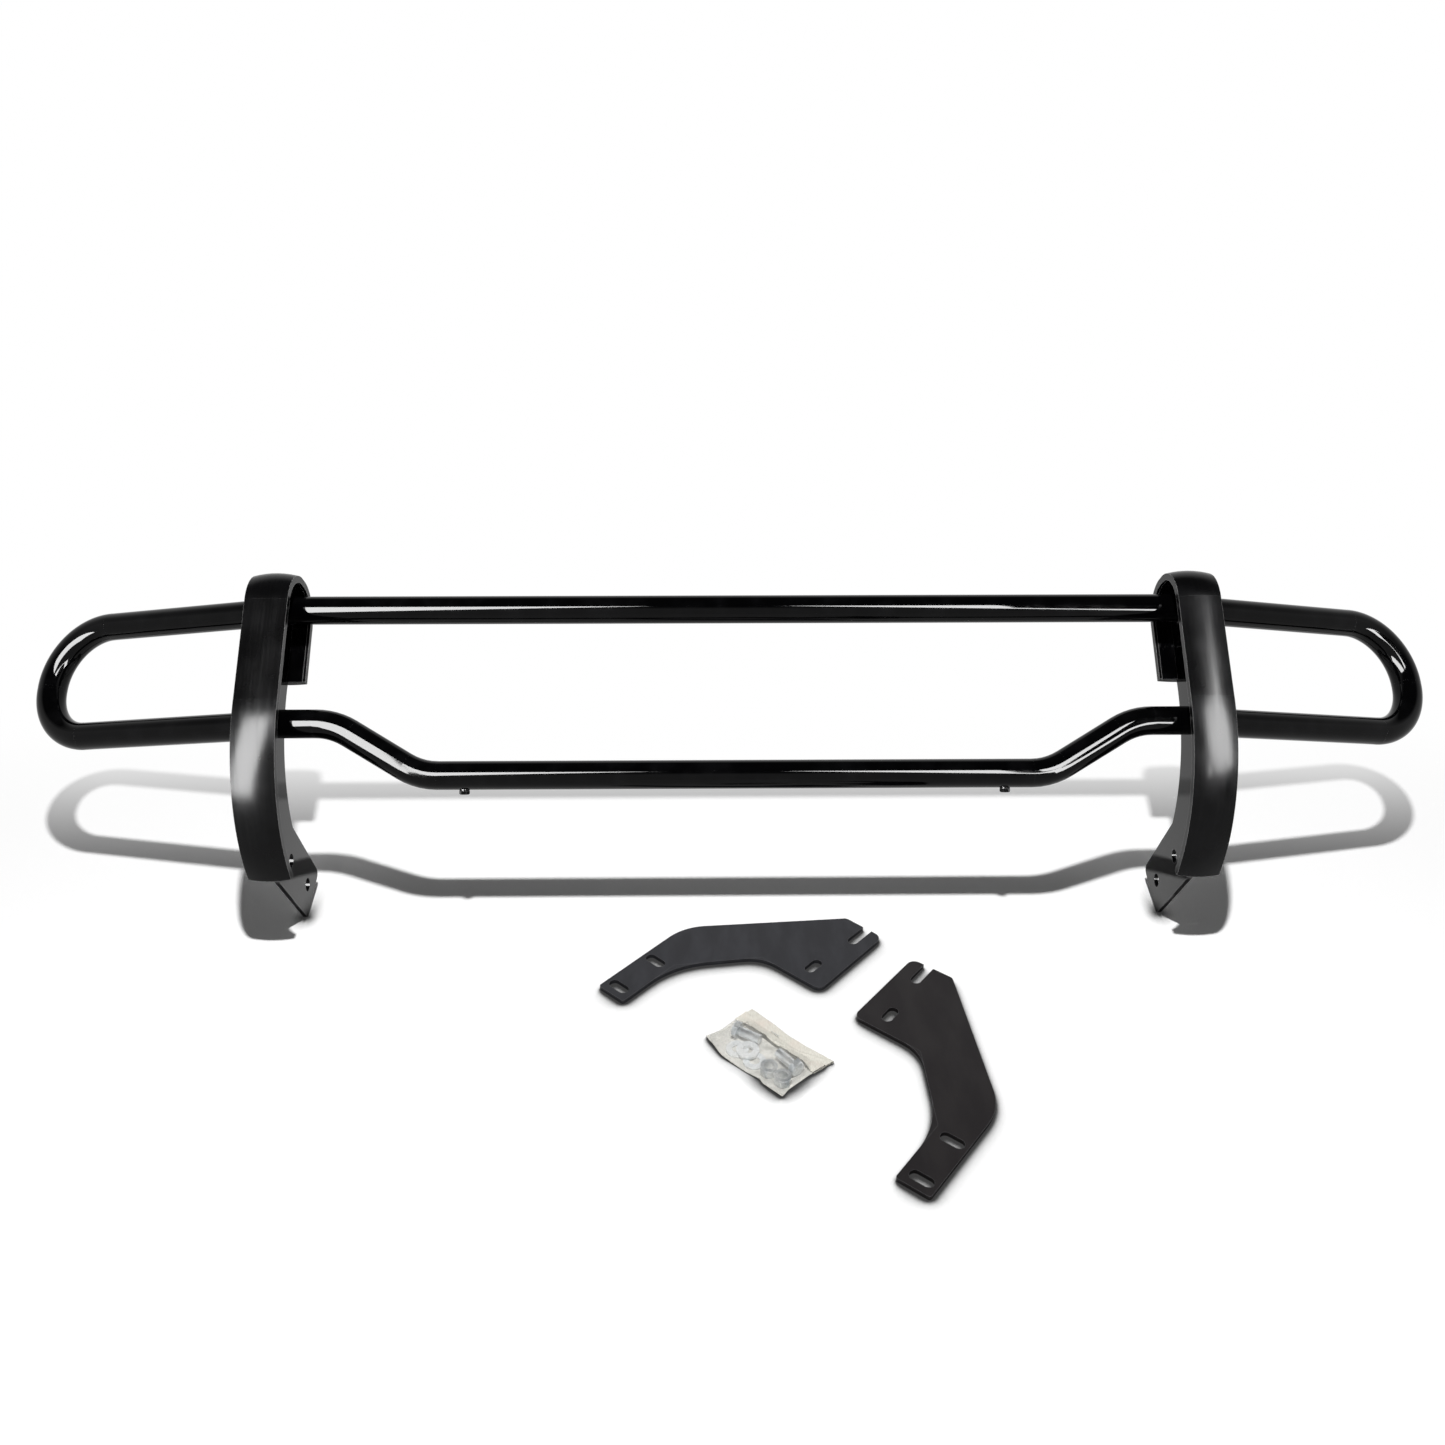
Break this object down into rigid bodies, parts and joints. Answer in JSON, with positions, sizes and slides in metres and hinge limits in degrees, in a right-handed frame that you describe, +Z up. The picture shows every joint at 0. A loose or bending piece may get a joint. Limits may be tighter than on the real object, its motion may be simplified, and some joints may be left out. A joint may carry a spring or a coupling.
{
  "type": "front grille guard",
  "caption": "Grille guard leaning back on its two mounting tabs: hooked uprights with cover strips, tube crossbars and brush loops, with its loose brackets and bag of fasteners.",
  "frame": {"origin": "on the floor, under the middle of the bounding box of the guard, its two loose brackets and the bag", "axes": "+X to the right seen from in front, along the crossbars; +Y back towards the vehicle; +Z up. Seen from in front is looking along +Y."},
  "size_m": [1.6318, 0.5948, 0.3996],
  "materials": {
    "gloss_black_paint": "gloss",
    "weld_paint": "gloss over a rough weld",
    "strip_rubber": "satin",
    "satin_black_coat": "satin",
    "zinc_plate": "bright zinc plate",
    "film": "milky clear film",
    "header_paper": "uncoated paper"
  },
  "bodies": {
    "guard": {"left_upright_plate": "gloss_black_paint", "right_upright_plate": "gloss_black_paint", "left_flange_bar": "gloss_black_paint", "right_flange_bar": "gloss_black_paint", "left_cover_strip": "strip_rubber", "right_cover_strip": "strip_rubber", "upper_crossbar": "gloss_black_paint", "lower_crossbar": "gloss_black_paint", "left_brush_loop": "gloss_black_paint", "right_brush_loop": "gloss_black_paint", "left_bar_welds": "weld_paint", "right_bar_welds": "weld_paint", "left_loop_welds": "weld_paint", "right_loop_welds": "weld_paint", "left_threaded_insert": "zinc_plate", "right_threaded_insert": "zinc_plate", "left_lamp_screw": "gloss_black_paint", "right_lamp_screw": "gloss_black_paint"},
    "left_bracket": {"left_mounting_bracket": "satin_black_coat"},
    "right_bracket": {"right_mounting_bracket": "satin_black_coat"},
    "fastener_bag": {"bag_lower_film": "film", "bag_upper_film": "film", "paper_header": "header_paper", "header_staple": "zinc_plate", "hex_bolts": "zinc_plate", "hex_nuts": "zinc_plate", "lock_washers": "zinc_plate", "flat_washers": "zinc_plate"}
  },
  "joints": [
    {"name": "left_bracket_lift", "type": "slide", "parent": "guard", "child": "left_bracket", "axis": [0, -0.3419, 0.9397], "range_m": [0, 0.4]},
    {"name": "right_bracket_lift", "type": "slide", "parent": "guard", "child": "right_bracket", "axis": [0, 0, 1], "range_m": [0, 0.4]},
    {"name": "fastener_bag_lift", "type": "slide", "parent": "guard", "child": "fastener_bag", "axis": [0, 0, 1], "range_m": [0, 0.4]}
  ]
}
